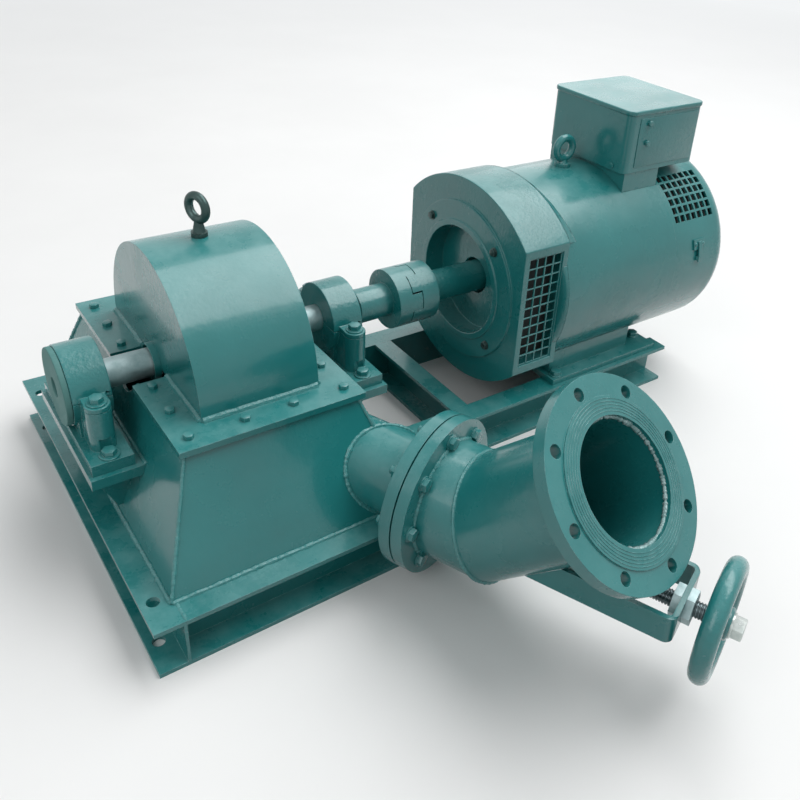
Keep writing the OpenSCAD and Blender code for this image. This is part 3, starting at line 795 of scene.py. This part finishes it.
@dataclass
class Generator:
    """Generator: bracket, cooling openings, connection box and bolts."""

    palette: Palette
    shaft_z: float = 325.0
    body_r: float = 231.0
    bracket_x: float = 720.0
    bracket_w: float = 210.0
    bracket_r: float = 240.0
    bracket_corner: float = 150.0
    bracket_edge: float = 2.2
    run_out: float = 1.5
    run_out_least: float = 0.5
    shoulder_x: float = 13.0
    shoulder_sunk: float = 0.6
    shoulder_share: float = 0.99
    window: Pair = (611.0, 705.0)
    window_half_z: float = 131.0
    shade_y: Pair = (176.2, 178.2)
    shade_gap: float = 0.5
    shade_edge: float = 0.6
    cover_x: Pair = (1069.0, 1221.0)
    drum_r: float = 219.0
    drum_gap: float = 1.0
    drum_bands: int = 12
    drum_groove: Profile = ((0.0, -2.0), (3.0, -1.0), (3.0, 1.0), (0.0, 2.0))
    grille_bar: float = 3.4
    grille_cols: int = 4
    grille_rows: int = 11
    col_y: Pair = (203.0, 207.0)
    row_y: Pair = (203.6, 206.4)
    col_edge: float = 0.9
    row_edge: float = 0.8
    latch_x: float = 1150.0
    clasp: tuple[Strip, ...] = (Strip(40.0, 4.5, 18.6, 12.2), Strip(12.0, 4.0, 17.0, 4.6, 3.6),
                                Strip(20.0, 5.5, 8.2, 5.6))
    clasp_screw_x: float = 13.0
    clasp_screw_at: Pair = (15.4, 3.6)
    clasp_screw: Profile = ((0, 0), (4.4, 0), (4.4, 1.4), (3.0, 2.6), (0, 3.0))
    boss_x: float = 590.0
    boss_bolt_at: float = 164.0
    boss_bolt: HexBolt = HexBolt(10.6, 2.0, (0.6, 0.4), 8.8, 6.0, steps=24)
    foot_z: float = 114.0
    foot_bolts: Sequence[Pair] = ((757.0, 186.0), (1059.0, 146.0))
    foot_bolt: HexBolt = HexBolt(16.0, 2.8, (0.7, 0.6), 13.5, 10.0)
    box_y: float = 129.0
    lid_edge: float = 3.2
    door_x: Pair = (972.0, 1164.0)
    door_z: Pair = (576.0, 690.0)
    door_y: Pair = (1.6, 0.5)
    door_edge: float = 0.8
    knobs: Sequence[Pair] = ((1000.0, 678.0), (1001.0, 632.0))
    knob_y: float = 1.4
    knob: Profile = ((0, 0), (4.2, 0), (4.2, 2.2), (6.4, 3.2), (6.8, 5.6), (5.6, 7.4), (0, 8.0))
    box_screw_at: Triple = (941.0, 92.0, 576.0)
    box_screw: Triple = (6.5, 4.2, 0.9)

    def outline_r(self, angle: float) -> float:
        """Distance of the bracket's outline from the shaft.

        Args:
            angle: Angle from upright.

        Returns:
            The distance in millimetres.
        """
        sag = self.bracket_r - self.bracket_corner
        arc = (self.bracket_w ** 2 + sag ** 2) / (2 * sag)
        drop = self.bracket_r - arc
        return drop * math.cos(angle) + math.sqrt(arc ** 2 - (drop * math.sin(angle)) ** 2)

    def rim_place(self, turn: float, radius: float, size: Pair) -> Matrix:
        """A place on the bracket's back at a turn about the shaft, X along it and Y outwards, scaled."""
        about = upright(self.bracket_x, 0, self.shaft_z) @ Matrix.Rotation(turn, 4, "X")
        return about @ upright(0, 0, radius) @ Y_FOR_Z @ Matrix.Diagonal((*size, 1, 1))

    def blend(self) -> None:
        """Adds the hollow run-out from the bracket to the round body, and the shoulders at its sides."""
        hollow = Blank()
        section = [(0.0, 0.0), (1.0, 0.0)]
        section += [(1 - math.sin(a), 1 - math.cos(a)) for a in quarter()[1:]]
        reach = math.atan2(self.bracket_w, self.bracket_corner)
        for up in (0.0, math.pi):
            places = []
            for angle in fan(reach, 48):
                rise = max(self.outline_r(angle) - self.body_r, self.run_out_least)
                places.append(self.rim_place(up - angle, self.body_r, (self.run_out * rise, rise)))
            hollow.swept(section, places)
        section = [(0.0, 0.0)] + [(-math.cos(a), math.sin(a)) for a in quarter()]
        reach = self.shoulder_share * math.acos(self.bracket_w / self.body_r)
        for out in (-math.pi / 2, math.pi / 2):
            places = []
            for angle in fan(reach, 32):
                flat = self.bracket_w / math.cos(angle)
                rise = self.body_r - self.shoulder_sunk - flat
                places.append(self.rim_place(out - angle, flat, (self.shoulder_x, rise)))
            hollow.swept(section, places)
        hollow.piece("bracket_run_out", self.palette.cast, Slot.CAST)

    def openings(self) -> None:
        """Adds near-black plates and a grooved drum as painted shade seen through grilles and vents."""
        inside = Blank()
        gap = self.shade_gap
        z = self.window_half_z - gap
        # Near-black plates in the window pockets: painted shade behind the grilles.
        for side in SIDES:
            low, high = sorted(side * y for y in self.shade_y)
            inside.slab((self.window[0] + gap, low, self.shaft_z - z),
                        (self.window[1] - gap, high, self.shaft_z + z), self.shade_edge)
        # Near-black grooved drum inside the rear cover: painted shade seen through the vents.
        start, end = self.cover_x
        long = end - start - 2 * self.drum_gap
        profile = [(0, 0), (self.drum_r, 0)]
        for k in range(1, self.drum_bands):
            height = long * k / self.drum_bands
            profile += [(self.drum_r - deep, height + along) for deep, along in self.drum_groove]
        profile += [(self.drum_r, long), (0, long)]
        inside.turned(profile, facing((start + self.drum_gap, 0, self.shaft_z), (1, 0, 0)), 96)
        inside.piece("painted_shade_inside", self.palette.shade, Slot.DARK)

    def grilles(self) -> None:
        """Builds the thin-barred grilles of the bracket's side windows."""
        x0, x1 = self.window
        z0, z1 = self.shaft_z - self.window_half_z, self.shaft_z + self.window_half_z
        half = self.grille_bar / 2
        for side, name in ((-1, "front"), (1, "back")):
            bars = Blank()
            low, high = sorted(side * y for y in self.col_y)
            for k in range(self.grille_cols + 1):
                x = x0 + half + (x1 - x0 - 2 * half) * k / self.grille_cols
                bars.slab((x - half, low, z0), (x + half, high, z1), self.col_edge)
            low, high = sorted(side * y for y in self.row_y)
            for k in range(self.grille_rows + 1):
                z = z0 + half + (z1 - z0 - 2 * half) * k / self.grille_rows
                bars.slab((x0, low, z - half), (x1, high, z + half), self.row_edge)
            bars.piece(f"grille_bars_{name}", self.palette.enamel, Slot.ENAMEL, Body.BASE,
                       (f"bracket_grille_{name}",))

    def on_cover(self, degrees: float, lift: float, x: float = 0.0) -> tuple[Vector, Vector]:
        """A point on the rear cover, its angle counted up from the front, and the direction outwards."""
        out = Matrix.Rotation(math.radians(-degrees), 3, "X") @ Vector((0, -1, 0))
        return Vector((self.latch_x + x, 0, self.shaft_z)) + (self.body_r + lift) * out, out

    def latch(self) -> None:
        """Builds the clasp on the rear cover: plate, tongue, loop and screws."""
        clasp = Blank()
        along = Vector((1, 0, 0))
        parts = 12
        for strip in self.clasp:
            half = strip.width / 2
            places = []
            for k in range(parts + 1):
                at, out = self.on_cover(strip.start + (strip.end - strip.start) * k / parts, strip.lift)
                places.append(standing_on(at, along, out, along.cross(out)))
            clasp.swept([(-half, 0), (half, 0), (half, strip.thick), (-half, strip.thick)], places)
        for side in SIDES:
            at, out = self.on_cover(*self.clasp_screw_at, side * self.clasp_screw_x)
            clasp.turned(self.clasp_screw, facing(at, out), 20)
        clasp.piece("cover_clasp", self.palette.cast, Slot.CAST, Body.BASE, ("cover_latch",))

    def bracket_bolts(self) -> None:
        """Adds the bracket's dark bolts."""
        dark = Blank()
        for k in range(4):
            angle = math.radians(45 + 90 * k)
            y, z = self.boss_bolt_at * math.cos(angle), self.boss_bolt_at * math.sin(angle)
            self.boss_bolt.put(dark, facing((self.boss_x, y, self.shaft_z + z), (-1, 0, 0)))
        dark.piece("bracket_bolts", self.palette.dark, Slot.DARK)

    def fasteners(self) -> None:
        """Adds the painted bolts of the feet and the door, knobs and screws of the box."""
        painted = Blank()
        for x, y in self.foot_bolts:
            for side in SIDES:
                self.foot_bolt.put(painted, upright(x, side * y, self.foot_z))
        proud, sunk = self.door_y
        painted.slab((self.door_x[0], -self.box_y - proud, self.door_z[0]),
                     (self.door_x[1], -self.box_y + sunk, self.door_z[1]), self.door_edge)
        for x, z in self.knobs:
            painted.turned(self.knob, facing((x, -self.box_y - self.knob_y, z), (0, -1, 0)), 24)
        x, y, z = self.box_screw_at
        for side in SIDES:
            painted.hexagon(facing((x, side * y, z), (-1, 0, 0)), *self.box_screw)
        painted.piece("generator_fasteners", self.palette.cast, Slot.CAST)

    def build(self) -> None:
        """Adds every piece of the generator."""
        softened("generator_bracket", "generator_bracket_casting", self.palette.cast, Slot.CAST,
                 self.bracket_edge)
        softened("connection_lid", "connection_lid_pressing", self.palette.enamel, Slot.ENAMEL,
                 self.lid_edge)
        self.blend()
        self.openings()
        self.grilles()
        self.latch()
        self.bracket_bolts()
        self.fasteners()


@dataclass(frozen=True)
class NozzleLine:
    """The nozzle's own frame: its axis from the case wall and the inlet's axis from the elbow."""

    origin: Triple = (195.0, -336.9, 172.0)
    turn: float = 22.7
    elbow_at: float = 221.0
    inlet_rise: float = 42.6
    inlet_turn: float = -7.0

    def axes(self) -> tuple[Vector, Vector, Vector]:
        """Side, up and forward directions of the nozzle."""
        c, s = math.cos(math.radians(self.turn)), math.sin(math.radians(self.turn))
        return Vector((c, s, 0)), Vector((0, 0, 1)), Vector((s, -c, 0))

    def place(self, along: float) -> Matrix:
        """A place on the nozzle's axis, Z forward, Y up."""
        side, up, ahead = self.axes()
        return standing_on(Vector(self.origin) + along * ahead, side, up, ahead)

    def inlet(self, along: float) -> Matrix:
        """A place on the inlet's axis, Z out of the mouth.

        Args:
            along: Distance from the elbow.

        Returns:
            The place.
        """
        side, up, ahead = self.axes()
        rise, turn = math.radians(self.inlet_rise), math.radians(self.inlet_turn)
        out = math.cos(rise) * (math.cos(turn) * ahead + math.sin(turn) * side) + math.sin(rise) * up
        across = math.cos(turn) * side - math.sin(turn) * ahead
        start = Vector(self.origin) + self.elbow_at * ahead
        return standing_on(start + along * out, across, out.cross(across), out)


@dataclass
class Nozzle:
    """Nozzle joint and inlet: bolts, welds and the turned sealing face."""

    palette: Palette
    line: NozzleLine = NozzleLine()
    stub_r: float = 79.5
    pipe_r: float = 109.5
    bore_r: float = 101.5
    joint: Pair = (80.5, 127.5)
    bolt_circle: float = 120.0
    bolts: int = 8
    bolt_turn: float = 1.7
    nut: HexBolt = HexBolt(15.0, 2.4, (0.6, 0.5), 12.6, 10.5, 1.5)
    head: HexBolt = HexBolt(15.0, 2.4, (0.6, 0.5), 12.6, 9.0, 1.5)
    stud_end: Profile = ((0, 12), (7.6, 12), (7.6, 18.5), (6.4, 19.8), (0, 19.8))
    inlet_back: float = 287.0
    inlet_face: float = 314.0
    face_rings: tuple[float, ...] = (108.0, 113.0, 118.0, 123.0, 128.0)
    ring: Profile = ((-1.2, -0.5), (-0.5, 0.8), (0.5, 0.8), (1.2, -0.5), (-1.2, -0.5))
    frame_z: float = 100.0
    wall_point: Triple = (0.0, -276.0, 313.0)
    wall_normal: Triple = (0.0, -213.0, 92.0)
    wall_gap: float = 1.0
    wall_seam: Seam = Seam(4.4, 0.2)
    stub_seam: Seam = Seam(4.2)
    neck_seam: Seam = Seam(4.6)
    inlet_seam: Seam = Seam(5.4)
    mitre_seam: Seam = Seam(3.8, 0.14)
    mouth_seam: Seam = Seam(4.2, 0.3)
    mouth_depth: float = 11.0
    mouth_gap: float = 0.6
    mouth_step: float = 1.8

    def fasteners(self) -> None:
        """Adds the joint's bolts: nuts and stud ends behind, heads in front."""
        nuts = Blank()
        heads = Blank()
        behind, before = (self.line.place(at) for at in self.joint)
        for k in range(self.bolts):
            angle = 2 * math.pi * k / self.bolts
            spot = upright(self.bolt_circle * math.sin(angle), self.bolt_circle * math.cos(angle), 0)
            spot = spot @ Matrix.Rotation(angle * self.bolt_turn, 4, "Z")
            back = behind @ spot @ Matrix.Rotation(math.pi, 4, "X")
            self.nut.put(nuts, back)
            nuts.turned(self.stud_end, back, 20)
            self.head.put(heads, before @ spot)
        nuts.piece("joint_nuts", self.palette.cast, Slot.CAST)
        heads.piece("joint_bolt_heads", self.palette.cast, Slot.CAST)

    def cut_path(self, radius: float, gap: float, point: Sequence[float], normal: Vector) -> list[Vector]:
        """Finds where a plane cuts a pipe on the nozzle's axis.

        Args:
            radius: Radius of the pipe.
            gap: Distance of the path from the pipe.
            point: A point of the plane.
            normal: The plane's normal.

        Returns:
            Points round the cut.
        """
        side, up, ahead = self.line.axes()
        path = []
        for x, y in round_section(radius + gap, round(2 * math.pi * radius / WELD_STEP)):
            start = Vector(self.line.origin) + x * side + y * up
            path.append(start + ahead * (normal.dot(Vector(point) - start) / normal.dot(ahead)))
        return path

    def welds(self) -> None:
        """Adds the beads of wall, flanges, elbow and mouth."""
        behind, before = (self.line.place(at) for at in self.joint)
        elbow = self.line.inlet(0)
        bisector = self.line.axes()[2] + elbow.to_3x3().col[2]
        wall = self.cut_path(self.stub_r, self.wall_gap, self.wall_point, Vector(self.wall_normal))
        mitre = self.cut_path(self.pipe_r, 0.0, elbow.translation, bisector)
        seams = Blank()
        seams.bead([point for point in wall if point.z > self.frame_z], self.wall_seam, closed=True)
        seams.hoop(behind, self.stub_r, self.stub_seam)
        seams.hoop(before, self.pipe_r, self.neck_seam)
        seams.hoop(self.line.inlet(self.inlet_back), self.pipe_r, self.inlet_seam)
        seams.bead(mitre, self.mitre_seam, closed=True)
        seams.piece("nozzle_seams", self.palette.weld, Slot.ENAMEL)
        mouth = Blank()
        place = self.line.inlet(self.inlet_face - self.mouth_depth)
        mouth.hoop(place, self.bore_r + self.mouth_gap, self.mouth_seam, self.mouth_step)
        mouth.piece("mouth_bead", self.palette.bare_weld, Slot.STEEL)

    def sealing_face(self) -> None:
        """Adds the turned rings of the sealing face."""
        rings = Blank()
        place = self.line.inlet(self.inlet_face)
        for radius in self.face_rings:
            rings.turned([(radius + x, height) for x, height in self.ring], place, 160)
        rings.piece("sealing_rings", self.palette.enamel, Slot.ENAMEL)

    def build(self) -> None:
        """Adds every piece of the nozzle."""
        self.fasteners()
        self.welds()
        self.sealing_face()


@dataclass
class NeedleGear:
    """Handwheel and screw of the needle."""

    palette: Palette
    line: NozzleLine = NozzleLine()
    wheel_at: float = 630.0
    rim_mid_r: float = 88.0
    rim_r: float = 17.0
    hub_r: float = 27.0
    hub_half: float = 20.0
    hub_edge: Profile = ((5.0, 0.0), (2.0, 1.0), (0.0, 4.0))
    hub_bolt: HexBolt = HexBolt(21.0, 3.2, (0.8, 0.8), 19.0, 17.5, 2.2, 32)
    spokes: int = 4
    spoke_size: Pair = (9.9, 8.1)
    spoke_flare: float = 0.55
    spoke_root: float = 6.0
    screw_r: float = 13.95
    screw_from: float = 512.0
    screw_tip: float = 4.0
    screw_edge: float = 1.0
    screw_in_hub: float = 3.0
    pitch: float = 5.0
    thread_depth: float = 1.5
    thread_sunk: float = 0.2
    tooth: tuple[float, ...] = (0.1, 0.32, 0.68, 0.9)
    yoke_at: float = 578.0
    strap_t: float = 9.0
    bend_r: float = 6.0
    near: float = 0.1

    def strap(self) -> None:
        """Rounds the two bends of the yoke's flat bar."""
        bar = node_copy("yoke")
        local = self.line.place(0).inverted()
        inner_at = self.yoke_at - self.strap_t
        for at, radius in ((self.yoke_at, self.bend_r + self.strap_t), (inner_at, self.bend_r)):
            bends = []
            for edge in bar.bm.edges:
                first, last = (local @ v.co for v in edge.verts)
                upright_edge = math.hypot(first.x - last.x, first.z - last.z) < self.near
                if upright_edge and abs(first.z - at) < self.near and abs(first.x) > self.hub_r:
                    bends.append(edge)
            round_off(bar.bm, bends, radius, segments=8)
        bar.piece("yoke_strap", self.palette.enamel, Slot.ENAMEL, Body.BASE, ("yoke",))

    def wheel(self) -> None:
        """Builds the cast wheel: rim, hub and spokes that flare at both ends."""
        cast = Blank()
        place = self.line.place(self.wheel_at)
        rim = [(self.rim_mid_r + x, y) for x, y in round_section(self.rim_r, 24)]
        cast.turned(rim + rim[:1], place, 96)
        h, r = self.hub_half, self.hub_r
        low = [(r - inwards, -h + up) for inwards, up in self.hub_edge]
        high = [(radius, -height) for radius, height in reversed(low)]
        cast.turned([(0, -h), *low, *high, (0, h)], place, 48)
        inner, outer = self.hub_r - self.spoke_root, self.rim_mid_r - self.rim_r + self.spoke_root
        stand = Matrix(((0, 0, 1), (1, 0, 0), (0, 1, 0))).to_4x4()
        parts = 16
        for k in range(self.spokes):
            turn = place @ Matrix.Rotation(math.radians(45) + 2 * math.pi * k / self.spokes, 4, "Z")
            places = []
            for share in (j / parts for j in range(parts + 1)):
                flare = 1.0 + self.spoke_flare * abs(2 * share - 1) ** 3
                size = Matrix.Diagonal((*(flare * half for half in self.spoke_size), 1, 1))
                places.append(turn @ upright(inner + (outer - inner) * share, 0, 0) @ stand @ size)
            cast.swept(round_section(1.0, 16), places)
        cast.piece("handwheel_casting", self.palette.cast, Slot.CAST, Body.WHEEL, ("handwheel",))

    def screw(self) -> None:
        """Builds the screw: a plain tip, the core and the thread wound round it."""
        steel = Blank()
        place = self.line.place(self.screw_from)
        long = self.wheel_at - self.hub_half - self.screw_from
        end = long + self.screw_in_hub
        outer, tip, edge = self.screw_r, self.screw_tip, self.screw_edge
        root = outer - self.thread_depth
        plain = [(0, 0), (outer - edge, 0), (outer, edge), (outer, tip)]
        steel.turned([*plain, (root, tip + edge), (root, end), (0, end)], place, 32)
        part = bmesh.new()
        foot = root - self.thread_sunk
        tooth = zip((foot, outer, outer, foot), self.tooth)
        verts = [part.verts.new((radius, 0, tip + share * self.pitch)) for radius, share in tooth]
        steps = 24
        turns = int((long - tip) / self.pitch)
        bmesh.ops.spin(part, geom=verts + chained(part, verts), cent=(0, 0, 0), axis=(0, 0, 1),
                       dvec=(0, 0, self.pitch / steps), angle=2 * math.pi * turns, steps=steps * turns)
        bmesh.ops.holes_fill(part, edges=part.edges[:], sides=0)
        steel.take(part, place)
        steel.piece("needle_screw", self.palette.thread, Slot.DARK, Body.WHEEL)

    def wheel_bolt(self) -> None:
        """Adds the zinc bolt and washer that hold the wheel."""
        zinc = Blank()
        self.hub_bolt.put(zinc, self.line.place(self.wheel_at + self.hub_half))
        zinc.piece("hub_bolt", self.palette.zinc, Slot.STEEL, Body.WHEEL)

    def build(self) -> None:
        """Adds strap, wheel, screw and bolt."""
        self.strap()
        self.wheel()
        self.screw()
        self.wheel_bolt()


@dataclass(frozen=True)
class AreaLamp:
    """An oblong area lamp: its place, the point it faces, width and length along Y, and power."""

    name: str
    at: Triple
    to: Triple
    size: Pair
    watts: float

    def build(self) -> None:
        """Adds the lamp, unseen by the camera."""
        data = bpy.data.lights.new(self.name, "AREA")
        data.shape = "RECTANGLE"
        data.size, data.size_y = self.size
        data.energy = self.watts
        back = (Vector(self.at) - Vector(self.to)).normalized()
        long = (Vector((0, 1, 0)) - back.y * back).normalized()
        lamp = into_scene(self.name, data)
        lamp.visible_camera = False
        lamp.location = self.at
        lamp.rotation_euler = Matrix((long.cross(back), long, back)).transposed().to_euler()


@dataclass
class Studio:
    """Floor, lamps and the camera at the photograph's angle."""

    azimuth: float = -38.9
    elevation: float = 29.4
    roll: float = 4.7
    place: Triple = (-0.5070, -1.3993, 1.2103)
    focal_px: float = 862.5
    middle_px: Pair = (465.9, 324.1)
    picture_px: float = 800.0
    sensor_mm: float = 36.0
    clip: Pair = (0.05, 60.0)
    floor_half: float = 40.0
    floor_tones: tuple[Triple, Triple] = ((0.79, 0.79, 0.785), (0.82, 0.82, 0.815))
    floor_mottle: Mottle = Mottle(1.5, 5.0, (0.35, 0.7))
    floor_roughness: float = 0.7
    floor_bounce: Triple = (0.30, 0.30, 0.30)
    fade: Pair = (2.5, 8.0)
    sky_tint: Triple = (0.97, 0.99, 1.0)
    sky_rise: Pair = (0.05, 0.55)
    sky_glow: Pair = (0.20, 0.50)
    pale: float = 0.92
    lamps: tuple[AreaLamp, ...] = (
        AreaLamp("sky_window", (3.45, -0.45, 6.45), (0.30, 0.0, 0.4), (4.4, 8.6), 470.0),
        AreaLamp("left_window", (-4.2, -1.6, 4.0), (0.2, 0.0, 0.3), (3.0, 3.0), 58.0),
        AreaLamp("rear_window", (5.0, 4.6, 3.0), (0.5, 0.0, 0.4), (4.5, 2.6), 24.0))

    def camera(self) -> None:
        """Puts the camera where the photograph was taken."""
        az, el, roll = (math.radians(v) for v in (self.azimuth, self.elevation, self.roll))
        back = Vector((math.sin(az) * math.cos(el), -math.cos(az) * math.cos(el), math.sin(el)))
        level = Vector((math.cos(az), math.sin(az), 0.0))
        rise = back.cross(level)
        right = level * math.cos(roll) + rise * math.sin(roll)
        up = rise * math.cos(roll) - level * math.sin(roll)
        data = bpy.data.cameras.new("photo_camera")
        data.sensor_width = self.sensor_mm
        data.lens = self.focal_px * self.sensor_mm / self.picture_px
        half = self.picture_px / 2
        data.shift_x = (half - self.middle_px[0]) / self.picture_px
        data.shift_y = (self.middle_px[1] - half) / self.picture_px
        data.clip_start, data.clip_end = self.clip
        camera = into_scene("photo_camera", data)
        camera.matrix_world = standing_on(self.place, right, up, back)
        bpy.context.scene.camera = camera

    def floor(self) -> None:
        """Adds the pale floor, which fades into the background far from the object."""
        g = Graph("pale_floor")
        place = g.place()
        pale = g.mix(self.floor_mottle.lay(g, place), *(rgba(tone) for tone in self.floor_tones))
        seen = g.looked_at()
        tone = g.mix(seen, rgba(self.floor_bounce), pale)
        near = g.add("ShaderNodeBsdfPrincipled", {"Base Color": tone, "Roughness": self.floor_roughness})
        away = g.add("ShaderNodeVectorMath", {"Vector": place}, operation="LENGTH").outputs["Value"]
        fade = g.maths("MULTIPLY", seen, g.span(away, self.fade))
        far = g.add("ShaderNodeEmission", {"Color": rgba(self.sky_tint), "Strength": self.pale})
        both = {"Fac": fade, "Shader": near.outputs[0], "Shader_001": far.outputs[0]}
        bm = bmesh.new()
        bmesh.ops.create_grid(bm, x_segments=1, y_segments=1, size=self.floor_half)
        mesh = bpy.data.meshes.new("floor")
        bm.to_mesh(mesh)
        bm.free()
        mesh.materials.append(g.finish(g.add("ShaderNodeMixShader", both)))
        into_scene("floor", mesh)

    def light(self) -> None:
        """Sets the world and the lamps."""
        g = Graph("soft_sky", "worlds")
        ray = g.add("ShaderNodeTexCoord").outputs["Generated"]
        height = g.add("ShaderNodeSeparateXYZ", {"Vector": ray}).outputs["Z"]
        glow = g.span(height, self.sky_rise, self.sky_glow)
        strength = g.span(g.looked_at(), (0.0, 1.0), (glow, self.pale))
        sky = g.add("ShaderNodeBackground", {"Color": rgba(self.sky_tint), "Strength": strength})
        bpy.context.scene.world = g.finish(sky)
        for lamp in self.lamps:
            lamp.build()

    def build(self) -> None:
        """Makes camera, floor and light."""
        self.camera()
        self.floor()
        self.light()
        bpy.context.scene.view_settings.view_transform = "Standard"


def main() -> None:
    """Builds the studio, the finishes and each sub-assembly in order."""
    logging.basicConfig(level=logging.INFO, format="%(name)s: %(message)s")
    Studio().build()
    palette = Palette()
    palette.dress_nodes()
    for assembly in (BaseFrame, TurbineCase, Bearings, Generator, Nozzle, NeedleGear):
        assembly(palette).build()


if __name__ == "__main__":
    main()
